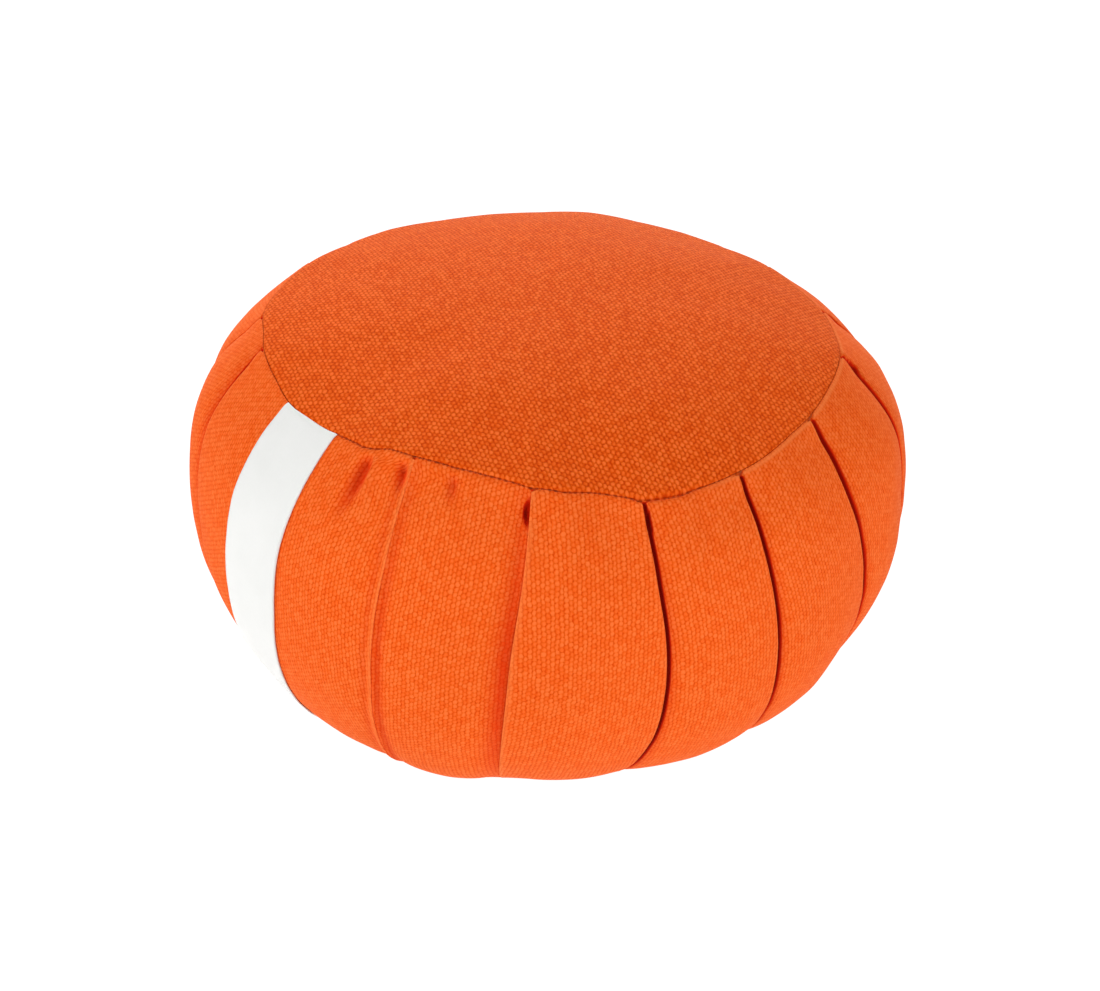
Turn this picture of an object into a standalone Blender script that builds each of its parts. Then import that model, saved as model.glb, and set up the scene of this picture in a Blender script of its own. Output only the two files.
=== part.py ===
"""A zafu: a round floor cushion of heavy orange canvas, firmly filled.

A pleated side band is closed by a round top panel and a round bottom panel, and a plain
white tape runs down the band from the top seam to the bottom seam.

Metres, +Z up. The origin is on the floor under the middle of the cushion. The side with
the tape faces -Y and a little to -X. Turns are degrees round the cushion, clockwise seen
from above, from +X: the side that faces -Y is at 90. A place down the band is its "fall":
0 at the top seam, 0.5 at the belly, 1 at the bottom seam.
"""

import math
from typing import NamedTuple

import bmesh
import bpy
from mathutils import Vector

# Main sizes
BELLY_RADIUS = 0.1798
BELLY_HEIGHT = 0.090
TOP_SEAM_RADIUS = 0.141
TOP_SEAM_HEIGHT = 0.175
BOTTOM_SEAM_RADIUS = 0.140
BOTTOM_SEAM_HEIGHT = 0.0115
CROWN = 0.022
CROWN_POWER = 2.4

# The bottom panel lies on the floor out to this share of its radius, and then turns up
FLOOR_SHARE = 0.76
TURN_UP_POWER = 1.7

# How the band curves: its slope in degrees where it leaves each seam, and how far it
# keeps that direction, as shares of the straight way between seam and belly
SHOULDER_SLOPE = 40.0
SHOULDER_REACH = 0.40
BELLY_REACH_UP = 0.53
FOOT_SLOPE = 24.0
FOOT_REACH = 0.21
BELLY_REACH_DOWN = 0.43

# Cloth
CANVAS_THICKNESS = 0.002
TAPE_THICKNESS = 0.001
GAP = 0.0003
RIM_GAP = 1.5 * GAP

# Pleats: the lip rounds over the fold edge, and the cloth that comes out from under it
# rises to the panel's face over the rise. Between two pleats the filling puffs the panel,
# and the profile lies at the given share of that puff
LIP = 0.003
RISE = 0.014
LIP_COLUMNS = (0.0, 0.0007, LIP)
RISE_COLUMNS = (0.0, 0.002, 0.006, 0.0115)
PUFF = 0.0022
PROFILE_SHARE = 0.8
SEAM_EASE = 0.07
SEAM_DEPTH_SHARE = 0.35
LIP_POWER = 3.0
RISE_POWER = 1.8
COLUMN_WIDTH = 0.017


class Pleat(NamedTuple):
    """A fold from seam to seam, with its turns at the top seam, the shoulder, the belly
    and the bottom seam. Where over is 1 the panel past it lies on top, where it is -1 the
    panel before it does."""

    seam_turn: float
    shoulder_turn: float
    belly_turn: float
    foot_turn: float
    over: int
    depth: float


PLEATS = [
    Pleat(-36.0, -36.5, -37.0, -36.0, 1, 0.0050),
    Pleat(-14.0, -16.0, -16.5, -16.0, 1, 0.0055),
    Pleat(7.0, 9.5, 9.0, 10.0, 1, 0.0075),
    Pleat(32.0, 33.5, 30.5, 30.0, 1, 0.0080),
    Pleat(54.0, 55.0, 54.0, 53.5, 1, 0.0075),
    Pleat(73.2, 72.8, 72.3, 80.0, 1, 0.0085),
    Pleat(93.0, 94.0, 96.5, 99.0, -1, 0.0075),
    Pleat(117.0, 114.8, 115.3, 120.0, 1, 0.0045),
    Pleat(172.3, 165.0, 159.0, 157.0, -1, 0.0040),
    Pleat(185.0, 187.0, 187.0, 187.0, -1, 0.0045),
    Pleat(211.0, 210.0, 209.5, 211.0, -1, 0.0055),
    Pleat(233.0, 234.5, 235.0, 233.5, 1, 0.0055),
    Pleat(257.0, 256.0, 257.5, 258.0, 1, 0.0050),
    Pleat(279.0, 280.5, 279.5, 278.0, 1, 0.0060),
    Pleat(301.0, 300.0, 301.5, 302.5, 1, 0.0055),
]


class Uneven(NamedTuple):
    """How far the filling pushes the top seam out and up, and the belly and the bottom seam
    out, at a turn."""

    turn: float
    seam_out: float
    seam_up: float
    belly_out: float
    foot_out: float = 0.0


UNEVEN = [
    Uneven(-36.0, -0.0007, -0.0035, -0.0010),
    Uneven(-13.5, 0.0010, -0.0043, 0.0000),
    Uneven(7.5, 0.0015, -0.0005, 0.0005, -0.0045),
    Uneven(31.0, 0.0010, -0.0018, -0.0040),
    Uneven(53.5, 0.0047, -0.0043, -0.0015, 0.0006),
    Uneven(72.0, 0.0040, -0.0047, -0.0027, -0.0008),
    Uneven(93.5, -0.0016, 0.0022, 0.0015, 0.0005),
    Uneven(115.5, -0.0054, 0.0061, 0.0055, 0.0055),
    Uneven(143.0, -0.0030, 0.0011, -0.0030, -0.0025),
    Uneven(174.5, -0.0013, 0.0058, 0.0010, -0.0030),
    Uneven(189.0, 0.0014, 0.0056, 0.0003, 0.0004),
    Uneven(211.5, 0.0019, 0.0036, 0.0004),
    Uneven(234.0, 0.0016, 0.0014, 0.0000),
    Uneven(256.5, 0.0000, -0.0010, 0.0005),
    Uneven(279.0, -0.0005, -0.0007, -0.0005),
    Uneven(301.5, -0.0020, -0.0030, 0.0000),
]


class Gather(NamedTuple):
    """A small tuck of the band under the top seam: how far down it reaches as a fall, its
    half width and its depth. A negative depth is a ridge."""

    turn: float
    reach: float
    width: float
    depth: float


GATHER_START = 0.03
GATHERS = [
    Gather(108.0, 0.07, 0.010, 0.0018),
    Gather(124.0, 0.12, 0.009, -0.0015),
    Gather(126.8, 0.16, 0.008, 0.0028),
]

# The tape, at the same four places as a pleat's turns
TAPE_TURNS = (143.6, 142.5, 143.2, 141.0)
TAPE_WIDTHS = (0.038, 0.043, 0.045, 0.043)
TAPE_STRIPS = 4

# Rows of the meshes: falls down the band, and shares of the radius on the round panels
FALLS = (
    [0.0, 0.018, 0.045, 0.08, 0.12]
    + [0.17 + 0.06 * step for step in range(12)]
    + [0.89, 0.94, 0.98, 1.0]
)
TOP_RINGS = (0.93, 0.76, 0.52, 0.26)
BOTTOM_RINGS = (0.94, 0.88, 0.82, FLOOR_SHARE, 0.38)
SHARP_ANGLE = 50.0

# Colours, and how rough each cloth is
ORANGE_SIDE = (0.84, 0.12, 0.016)
ORANGE_TOP = (0.80, 0.11, 0.014)
ORANGE_BASE = (0.80, 0.11, 0.014)
WHITE = (0.90, 0.90, 0.88)
CANVAS_ROUGHNESS = 0.9
TAPE_ROUGHNESS = 0.7


def lerp(start, end, share):
    return start + (end - start) * share


def smooth(share):
    """0 to 1 with a soft start and end."""
    share = min(1.0, max(0.0, share))
    return share * share * (3 - 2 * share)


def cubic(share, *points):
    """A Bezier curve's value, from four control values."""
    rest = 1 - share
    weights = (rest**3, 3 * rest**2 * share, 3 * rest * share**2, share**3)
    return sum(weight * point for weight, point in zip(weights, points))


def catmull(share, before, start, end, after):
    """A smooth curve through start and end that heads on from before and to after."""
    return start + 0.5 * share * (
        end - before
        + share
        * (2 * before - 5 * start + 4 * end - after + share * (3 * (start - end) + after - before))
    )


def down_band(values, fall):
    """Values given at the top seam, shoulder, belly and bottom seam, at this fall."""
    top, shoulder, belly, foot = values
    if fall < 0.25:
        return catmull(fall / 0.25, 2 * top - shoulder, top, shoulder, belly)
    if fall < 0.5:
        return catmull(fall / 0.25 - 1, top, shoulder, belly, lerp(belly, foot, 0.5))
    return catmull(fall / 0.5 - 1, lerp(belly, shoulder, 2.0), belly, foot, foot)


def pleat_turn(index, fall):
    """A pleat's turn. Indexes past the last pleat go on round the cushion."""
    lap, row = divmod(index, len(PLEATS))
    return down_band(PLEATS[row][:4], fall) + 360 * lap


def round_band(turn, column):
    """One of the uneven amounts, blended smoothly round the cushion."""
    first = UNEVEN[0].turn
    turn = (turn - first) % 360 + first
    index = sum(row.turn <= turn for row in UNEVEN) - 1
    start, end = UNEVEN[index].turn, (UNEVEN + [UNEVEN[0]])[index + 1].turn
    share = (turn - start) / ((end - start) % 360)
    amounts = [getattr(UNEVEN[(index + step) % len(UNEVEN)], column) for step in (-1, 0, 1, 2)]
    return catmull(share, *amounts)


def at(radius, turn, height):
    angle = math.radians(turn)
    return Vector((radius * math.cos(angle), -radius * math.sin(angle), height))


def profile(turn, fall):
    """Radius and height of the band before its pleats."""
    seam_radius = TOP_SEAM_RADIUS + round_band(turn, "seam_out")
    seam_height = TOP_SEAM_HEIGHT + round_band(turn, "seam_up")
    belly_radius = BELLY_RADIUS + round_band(turn, "belly_out")
    foot_radius = BOTTOM_SEAM_RADIUS + round_band(turn, "foot_out")
    if fall <= 0.5:
        way = math.hypot(belly_radius - seam_radius, seam_height - BELLY_HEIGHT)
        slope = math.radians(SHOULDER_SLOPE)
        reach = SHOULDER_REACH * way
        radii = seam_radius, seam_radius + reach * math.cos(slope), belly_radius, belly_radius
        heights = (
            seam_height,
            seam_height - reach * math.sin(slope),
            BELLY_HEIGHT + BELLY_REACH_UP * way,
            BELLY_HEIGHT,
        )
        return cubic(2 * fall, *radii), cubic(2 * fall, *heights)
    way = math.hypot(belly_radius - foot_radius, BELLY_HEIGHT - BOTTOM_SEAM_HEIGHT)
    slope = math.radians(FOOT_SLOPE)
    reach = FOOT_REACH * way
    radii = (
        belly_radius,
        belly_radius,
        foot_radius + reach * math.cos(slope),
        foot_radius,
    )
    heights = (
        BELLY_HEIGHT,
        BELLY_HEIGHT - BELLY_REACH_DOWN * way,
        BOTTOM_SEAM_HEIGHT + reach * math.sin(slope),
        BOTTOM_SEAM_HEIGHT,
    )
    return cubic(2 * fall - 1, *radii), cubic(2 * fall - 1, *heights)


def facing(turn, fall):
    """The way the band faces there, as its parts outward and upward."""
    step = 0.004
    above = profile(turn, max(0.0, fall - step))
    below = profile(turn, min(1.0, fall + step))
    out, up = above[1] - below[1], below[0] - above[0]
    size = math.hypot(out, up)
    return out / size, up / size


def relief(index, turn, fall):
    """How far the panel past this pleat stands off the profile at this turn."""
    radius = profile(turn, fall)[0]
    start, end = pleat_turn(index, fall), pleat_turn(index + 1, fall)
    share = (turn - start) / (end - start)
    ease = smooth(min(fall, 1 - fall) / SEAM_EASE)
    amount = PUFF * (4 * share * (1 - share) - PROFILE_SHARE) * ease
    before, after = PLEATS[index % len(PLEATS)], PLEATS[(index + 1) % len(PLEATS)]
    for pleat, away, on_top in (
        (before, turn - start, before.over == 1),
        (after, end - turn, after.over == -1),
    ):
        distance = radius * math.radians(away)
        depth = pleat.depth * lerp(SEAM_DEPTH_SHARE, 1.0, ease) * (0 < fall < 1)
        width, power = (LIP, LIP_POWER) if on_top else (RISE, RISE_POWER)
        amount -= depth * max(0.0, 1 - distance / width) ** power
    for gather in GATHERS:
        distance = radius * math.radians(turn - gather.turn)
        across = smooth(1 - abs(distance) / gather.width)
        down = smooth(1 - fall / gather.reach) * smooth(fall / GATHER_START)
        amount -= gather.depth * across * down
    return amount


def band_point(index, turn, fall, raised=0.0):
    """A point on the band, or raised above it."""
    radius, height = profile(turn, fall)
    out, up = facing(turn, fall)
    amount = relief(index, turn, fall) + raised
    return at(radius + out * amount, turn, height + up * amount)


def tape_turn(share, fall):
    """A turn across the tape, from its near edge at 0 to its far edge at 1."""
    turn = down_band(TAPE_TURNS, fall)
    half = math.degrees(down_band(TAPE_WIDTHS, fall) / profile(turn, fall)[0]) / 2
    return turn + half * (2 * share - 1)


def beside(index, distance):
    """A line down the band, at a distance past a pleat's edge or, if negative, before it."""
    return lambda fall: pleat_turn(index, fall) + math.degrees(distance / BELLY_RADIUS)


def between(line, other, share):
    return lambda fall: lerp(line(fall), other(fall), share)


def lines_across(index):
    """What crosses the panel past a pleat: the middle of each gather, and the tape's strips."""
    start, end = pleat_turn(index, 0.0), pleat_turn(index + 1, 0.0)
    lines = [
        lambda fall, turn=gather.turn: turn for gather in GATHERS if start < gather.turn < end
    ]
    if start < TAPE_TURNS[0] < end:
        for strip in range(TAPE_STRIPS + 1):
            lines.append(lambda fall, share=strip / TAPE_STRIPS: tape_turn(share, fall))
    return lines


def panel_columns(index):
    """The columns of the panel past a pleat, each a line down the band. They stand close
    where a fold is sharp, and the last belongs to the next panel."""
    after = (index + 1) % len(PLEATS)
    starts = LIP_COLUMNS if PLEATS[index].over == 1 else RISE_COLUMNS
    ends = LIP_COLUMNS if PLEATS[after].over == -1 else RISE_COLUMNS
    columns = [beside(index, distance) for distance in starts]
    last = [beside(index + 1, -distance) for distance in ends[:0:-1]]
    lines = [columns[-1]] + lines_across(index) + [last[0]]
    for line, other in zip(lines, lines[1:]):
        width = math.radians(other(0.5) - line(0.5)) * BELLY_RADIUS
        count = max(1, round(width / COLUMN_WIDTH))
        columns += [between(line, other, step / count) for step in range(1, count + 1)]
    return columns + last[1:]


def canvas_top(point, share):
    """The top panel's outer face under a point of the top seam, at a share of its radius."""
    uneven = point.z - TOP_SEAM_HEIGHT
    height = TOP_SEAM_HEIGHT + uneven * share**2 + CROWN * (1 - share**CROWN_POWER)
    return Vector((point.x * share, point.y * share, height))


def canvas_bottom(point, share):
    """The bottom panel's outer face: flat on the floor, and turned up towards its seam."""
    turn_up = max(0.0, share - FLOOR_SHARE) / (1 - FLOOR_SHARE)
    return Vector((point.x * share, point.y * share, point.z * turn_up**TURN_UP_POWER))


def drawn_in(point, distance):
    """A point moved towards the axis."""
    radius = math.hypot(point.x, point.y)
    return Vector((point.x, point.y, 0)) * (1 - distance / radius) + Vector((0, 0, point.z))


def close_rings(mesh, rings, start_pole, end_pole):
    """Skins a stack of rings, and closes each end with a fan to its pole."""
    made = [[mesh.verts.new(point) for point in ring] for ring in rings]
    count = len(rings[0])
    for upper, lower in zip(made, made[1:]):
        for this in range(count):
            then = (this + 1) % count
            mesh.faces.new((upper[this], lower[this], lower[then], upper[then]))
    for pole, ring in ((start_pole, made[0]), (end_pole, made[-1])):
        tip = mesh.verts.new(pole)
        for this in range(count):
            mesh.faces.new((tip, ring[this], ring[(this + 1) % count]))


def finish_object(name, mesh, colour, roughness):
    """Turns the mesh's faces outward and makes an object with its own material."""
    bmesh.ops.triangulate(mesh, faces=mesh.faces)
    bmesh.ops.recalc_face_normals(mesh, faces=mesh.faces)
    data = bpy.data.meshes.new(name)
    mesh.to_mesh(data)
    mesh.free()
    data.shade_smooth()
    data.set_sharp_from_angle(angle=math.radians(SHARP_ANGLE))
    material = bpy.data.materials.new(name)
    material.use_nodes = True
    shader = material.node_tree.nodes["Principled BSDF"]
    shader.inputs["Base Color"].default_value = (*colour, 1)
    shader.inputs["Roughness"].default_value = roughness
    shader.inputs["Metallic"].default_value = 0.0
    data.materials.append(material)
    made = bpy.data.objects.new(name, data)
    bpy.context.scene.collection.objects.link(made)
    return made


def make_side_band(band_rows):
    """The filled body: the pleated band outside, and a seat for each round panel."""
    top_ring, bottom_ring = band_rows[0], band_rows[-1]
    under = Vector((0, 0, CANVAS_THICKNESS + GAP))
    rings = [
        [canvas_top(point, share) - under for point in top_ring]
        for share in reversed((1.0,) + TOP_RINGS)
    ]
    rings += band_rows
    rings += [
        [canvas_bottom(point, share) + under for point in bottom_ring]
        for share in (1.0,) + BOTTOM_RINGS
    ]
    crown = canvas_top(top_ring[0], 0.0) - under
    mesh = bmesh.new()
    close_rings(mesh, rings, crown, under)
    return finish_object("side_band", mesh, ORANGE_SIDE, CANVAS_ROUGHNESS)


def make_round_panel(name, seam_ring, face, shares, inward, colour):
    """A round panel: an outer face, a rim just inside the band, and an inner face."""
    thick = Vector((0, 0, CANVAS_THICKNESS * inward))
    rim = [drawn_in(point, RIM_GAP) for point in seam_ring]
    outer = [[face(point, share) for point in seam_ring] for share in shares]
    inner = [[point + thick for point in ring] for ring in outer]
    rings = outer[::-1] + [rim, [point + thick for point in rim]] + inner
    middle = face(seam_ring[0], 0.0)
    mesh = bmesh.new()
    close_rings(mesh, rings, middle, middle + thick)
    return finish_object(name, mesh, colour, CANVAS_ROUGHNESS)


def make_side_tape(tape_index):
    """The tape: a thin strip that lies on the band from seam to seam."""
    mesh = bmesh.new()
    layers = []
    for raised in (GAP, GAP + TAPE_THICKNESS):
        layers.append(
            [
                [
                    mesh.verts.new(
                        band_point(tape_index, tape_turn(strip / TAPE_STRIPS, fall), fall, raised)
                    )
                    for strip in range(TAPE_STRIPS + 1)
                ]
                for fall in FALLS
            ]
        )
    under, over = layers
    for layer in layers:
        for upper, lower in zip(layer, layer[1:]):
            for this in range(TAPE_STRIPS):
                mesh.faces.new((upper[this], upper[this + 1], lower[this + 1], lower[this]))
    edges = (
        (under[0], over[0]),
        (under[-1], over[-1]),
        ([row[0] for row in under], [row[0] for row in over]),
        ([row[-1] for row in under], [row[-1] for row in over]),
    )
    for inside, outside in edges:
        for this in range(len(inside) - 1):
            mesh.faces.new((inside[this], inside[this + 1], outside[this + 1], outside[this]))
    return finish_object("side_tape", mesh, WHITE, TAPE_ROUGHNESS)


def build_zafu():
    columns = [(index, line) for index in range(len(PLEATS)) for line in panel_columns(index)]
    band_rows = [[band_point(index, line(fall), fall) for index, line in columns] for fall in FALLS]
    tape_index = max(
        index for index, pleat in enumerate(PLEATS) if pleat.seam_turn < TAPE_TURNS[0]
    )
    make_side_band(band_rows)
    make_round_panel("top_panel", band_rows[0], canvas_top, TOP_RINGS, -1, ORANGE_TOP)
    make_round_panel("bottom_panel", band_rows[-1], canvas_bottom, BOTTOM_RINGS, 1, ORANGE_BASE)
    make_side_tape(tape_index)


for old in list(bpy.data.objects):
    bpy.data.objects.remove(old, do_unlink=True)
build_zafu()
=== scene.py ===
import math
from typing import NamedTuple

import bpy
import numpy as np
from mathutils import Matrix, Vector, noise


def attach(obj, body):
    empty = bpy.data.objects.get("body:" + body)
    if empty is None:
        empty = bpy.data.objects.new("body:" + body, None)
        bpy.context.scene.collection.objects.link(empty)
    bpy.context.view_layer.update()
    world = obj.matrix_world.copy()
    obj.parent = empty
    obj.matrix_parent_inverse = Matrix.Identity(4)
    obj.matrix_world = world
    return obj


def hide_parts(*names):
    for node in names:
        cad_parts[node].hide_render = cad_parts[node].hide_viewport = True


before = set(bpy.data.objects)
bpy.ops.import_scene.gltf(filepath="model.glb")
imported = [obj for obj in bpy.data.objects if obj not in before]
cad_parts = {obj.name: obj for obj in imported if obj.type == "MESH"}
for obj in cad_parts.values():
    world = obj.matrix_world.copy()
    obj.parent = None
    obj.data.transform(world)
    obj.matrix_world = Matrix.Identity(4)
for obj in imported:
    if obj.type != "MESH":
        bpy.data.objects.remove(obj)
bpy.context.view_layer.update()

# ----------------------------------------
# The side band
# One long strip of heavy cotton canvas, laid in knife pleats along both edges and sewn to
# the round panels, then filled hard. Each pleat is a folded edge that laps over the panel
# beside it, and the cloth puffs out between two pleats and pulls in at the seams.
# ----------------------------------------

# Turns are degrees round the cushion, clockwise seen from above, from +X. A place down the
# band is its fall: 0 at the top seam, 0.5 at the belly, 1 at the bottom seam.
BELLY_RADIUS = 0.1798
BELLY_HEIGHT = 0.090
TOP_SEAM_RADIUS = 0.141
TOP_SEAM_HEIGHT = 0.175
BOTTOM_SEAM_RADIUS = 0.140
BOTTOM_SEAM_HEIGHT = 0.0115
SHOULDER_SLOPE = 40.0
SHOULDER_REACH = 0.40
BELLY_REACH_UP = 0.53
FOOT_SLOPE = 24.0
FOOT_REACH = 0.21
BELLY_REACH_DOWN = 0.43
CROWN = 0.022
CROWN_POWER = 2.4
FLOOR_SHARE = 0.76
TURN_UP_POWER = 1.7

# The room that a round panel takes up over the body, and the gap that keeps cloths apart
CANVAS_THICKNESS = 0.002
GAP = 0.0003

# Rings of the plain faces of the body under the round panels, as shares of the seam's radius
TOP_RINGS = (0.26, 0.52, 0.76, 0.93, 1.0)
BOTTOM_RINGS = (1.0, 0.97, 0.94, 0.91, 0.88, 0.85, 0.82, 0.79, FLOOR_SHARE, 0.38)

# The puff of a panel between two pleats, and how it eases off at the seams
PUFF = 0.0022
PROFILE_SHARE = 0.8
SEAM_EASE = 0.07

# The seams draw the cloth in to a narrow crease. The band's edge beside the top seam gets a
# painted highlight, and where no stitches show, the cloth counts as this much farther away
SEAM_WIDTH = 0.0032
SEAM_POWER = 2.6
BOTTOM_SINK = 0.0016
RIM_PLACE = 0.0013
RIM_WIDTH = 0.0015
STITCH_DEPTH = 0.0007

# The cross-section of a pleat: the fold opens from the seam over this much fall, its cloth
# runs back under the edge by the tuck, and the face settles over the edge width
FOLD_OPENING = 0.007
SLIT_AT_SEAM = 0.85
LIP_AT_SEAM = 0.5
DIP_AT_SEAM = 0.4
TUCK = 0.008
TUCK_SINK = 0.004
EDGE_WIDTH = 0.014
STAND_WIDTH = 0.0021
TROUGH_PLACE = 0.0044
TROUGH_WIDTH = 0.0026
SLIT_POWER = 3.0
DIP_POWER = 1.9

# The pocket of a fold under the top seam: where it is deepest, and how far it reaches
POCKET_FALL = 0.052
POCKET_REACH = 0.042

# A fold's tone of painted light: above 0 a painted highlight lightens its edge,
# below 0 painted shade darkens the cloth deep in it
EDGE_HIGHLIGHT = 0.85
EDGE_HIGHLIGHT_FADE = 0.8
EDGE_HIGHLIGHT_WIDTH = 0.0034
LIP_TONE_CHANGE = 2.4
SHADE_DEPTH = 0.0012
FULL_SLIT = 0.0026
LEAST_SHADE = 0.3
DIP_SHADE = 0.7
FULL_DIP = 0.0022
GATHER_SHADE_DEPTH = 0.0120

# The mesh of a fold: the steps round its lip, and the columns of its face, of the panel
# below it and of the cloth tucked behind both, as shares of their widths
LIP_STEPS = 8
FACE_SHARES = (0.06, 0.14, 0.24, 0.36, 0.50, 0.65, 0.82, 1.0)
RISE_SHARES = (0.0, 0.035, 0.07, 0.105, 0.145, 0.19, 0.25, 0.33, 0.43, 0.55, 0.68, 0.83, 1.0)
UNDER_SHARES = (0.6, 0.25)
BACK_SHARES = (0.72, 0.42)

# The mesh of the band: the width of its columns, the rows next to a seam, and those between
COLUMN_WIDTH = 0.0025
SEAM_ROWS = (0.0, 0.0004, 0.0008, 0.0013, 0.0019, 0.0026, 0.0035, 0.0046, 0.0060, 0.0077, 0.0096)
ROW_HEIGHT = 0.0022
BAND_LENGTH = 0.192


class Pleat(NamedTuple):
    """A fold from seam to seam: its turns at the top seam, shoulder, belly and bottom seam.
    Where over is 1 the panel past it lies on top, where it is -1 the panel before it does.
    The slit is the gap beside the edge: its depth, its width, and how much deeper it opens
    in the pocket under the top seam. pocket_width is how wide it is there. The lower panel
    dips towards the slit by dips at the shoulder, belly and foot, over the rise. The lip is
    the round of the upper panel's edge, stand is how far the edge stands up, slope is how
    much the lower panel climbs to it, from 0 to 1, and trough is the hollow behind it."""

    turns: tuple
    over: int
    slit: float
    slit_width: float
    pocket: float
    pocket_width: float
    dips: tuple
    rise: float
    lip: float = 0.0010
    stand: float = 0.0
    slope: float = 0.0
    trough: float = 0.0


PLAIN_DIPS = (0.0007, 0.0009, 0.0006)
SIDE_DIPS = (0.0008, 0.0011, 0.0008)
PLEATS = [
    Pleat((-36.0, -36.5, -37.0, -36.0), 1, 0.0026, 0.0022, 0.0010, 0.0030, PLAIN_DIPS, 0.008),
    Pleat((-14.0, -16.0, -16.5, -16.0), 1, 0.0036, 0.0040, 0.0030, 0.0075, SIDE_DIPS, 0.012),
    Pleat((7.0, 9.5, 9.0, 10.0), 1, 0.0036, 0.0044, 0.0030, 0.0075, SIDE_DIPS, 0.012),
    Pleat((31.4, 33.2, 29.6, 27.0), 1, 0.0036, 0.0034, 0.0, 0.0034, SIDE_DIPS, 0.009),
    Pleat((54.0, 54.7, 53.0, 51.1), 1, 0.0036, 0.0024, 0.0, 0.0024, SIDE_DIPS, 0.008),
    Pleat((73.6, 73.3, 72.2, 76.0), 1, 0.0024, 0.0022, 0.0015, 0.0030,
          (0.0008, 0.0009, 0.0008), 0.009, lip=0.0011),
    Pleat((93.1, 94.0, 96.1, 99.3), -1, 0.0, 0.0014, 0.0032, 0.0034,
          (0.0014, 0.0018, 0.0002), 0.014, lip=0.0005, stand=0.0006, slope=0.5),
    Pleat((116.3, 115.2, 116.0, 118.4), 1, 0.0, 0.0010, 0.0, 0.0010,
          (0.0014, 0.0019, 0.0015), 0.0085, lip=0.0004, stand=0.0012, slope=0.8, trough=0.0005),
    Pleat((171.5, 168.6, 165.0, 162.0), -1, 0.0013, 0.0015, 0.0, 0.0015,
          (0.0012, 0.0006, 0.0002), 0.012, lip=0.0011),
    Pleat((184.0, 187.0, 188.0, 188.0), -1, 0.0016, 0.0016, 0.0, 0.0016,
          (0.0004, 0.0004, 0.0002), 0.012, lip=0.0009),
    Pleat((211.0, 210.0, 209.5, 211.0), -1, 0.0022, 0.0020, 0.0014, 0.0032, SIDE_DIPS, 0.012),
    Pleat((233.0, 234.5, 235.0, 233.5), 1, 0.0028, 0.0023, 0.0, 0.0023, PLAIN_DIPS, 0.012),
    Pleat((257.0, 256.0, 257.5, 258.0), 1, 0.0020, 0.0020, 0.0018, 0.0034, SIDE_DIPS, 0.012),
    Pleat((279.0, 280.5, 279.5, 278.0), 1, 0.0026, 0.0022, 0.0, 0.0022, PLAIN_DIPS, 0.012),
    Pleat((301.0, 300.0, 301.5, 302.5), 1, 0.0023, 0.0021, 0.0012, 0.0030, SIDE_DIPS, 0.012),
]


class Uneven(NamedTuple):
    """How far the filling pushes the top seam out and up, and the belly and the bottom seam
    out, at a turn."""

    turn: float
    seam_out: float
    seam_up: float
    belly_out: float
    foot_out: float = 0.0


UNEVEN = [
    Uneven(-36.0, -0.0007, -0.0035, -0.0010),
    Uneven(-13.5, 0.0010, -0.0043, 0.0000),
    Uneven(7.5, 0.0015, -0.0005, 0.0005, -0.0045),
    Uneven(31.0, 0.0010, -0.0018, -0.0040),
    Uneven(53.5, 0.0047, -0.0043, -0.0015, 0.0006),
    Uneven(72.0, 0.0040, -0.0047, -0.0027, -0.0008),
    Uneven(93.5, -0.0016, 0.0022, 0.0015, 0.0005),
    Uneven(115.5, -0.0054, 0.0061, 0.0055, 0.0055),
    Uneven(143.0, -0.0030, 0.0011, -0.0024, -0.0005),
    Uneven(174.5, -0.0013, 0.0058, 0.0012, -0.0010),
    Uneven(189.0, 0.0014, 0.0056, 0.0003, 0.0004),
    Uneven(211.5, 0.0019, 0.0036, 0.0004),
    Uneven(234.0, 0.0016, 0.0014, 0.0000),
    Uneven(256.5, 0.0000, -0.0010, 0.0005),
    Uneven(279.0, -0.0005, -0.0007, -0.0005),
    Uneven(301.5, -0.0020, -0.0030, 0.0000),
]


class SeamPlace(NamedTuple):
    """The top seam as it was sewn: how far it strays in or out at a turn, how deep it draws
    the cloth in there, how much painted highlight the band's edge gets beside it, and how
    much of its stitches, with the painted shadow of their crease, shows."""

    turn: float
    out: float
    sink: float
    rim_highlight: float = 0.0
    stitches: float = 1.0


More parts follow.
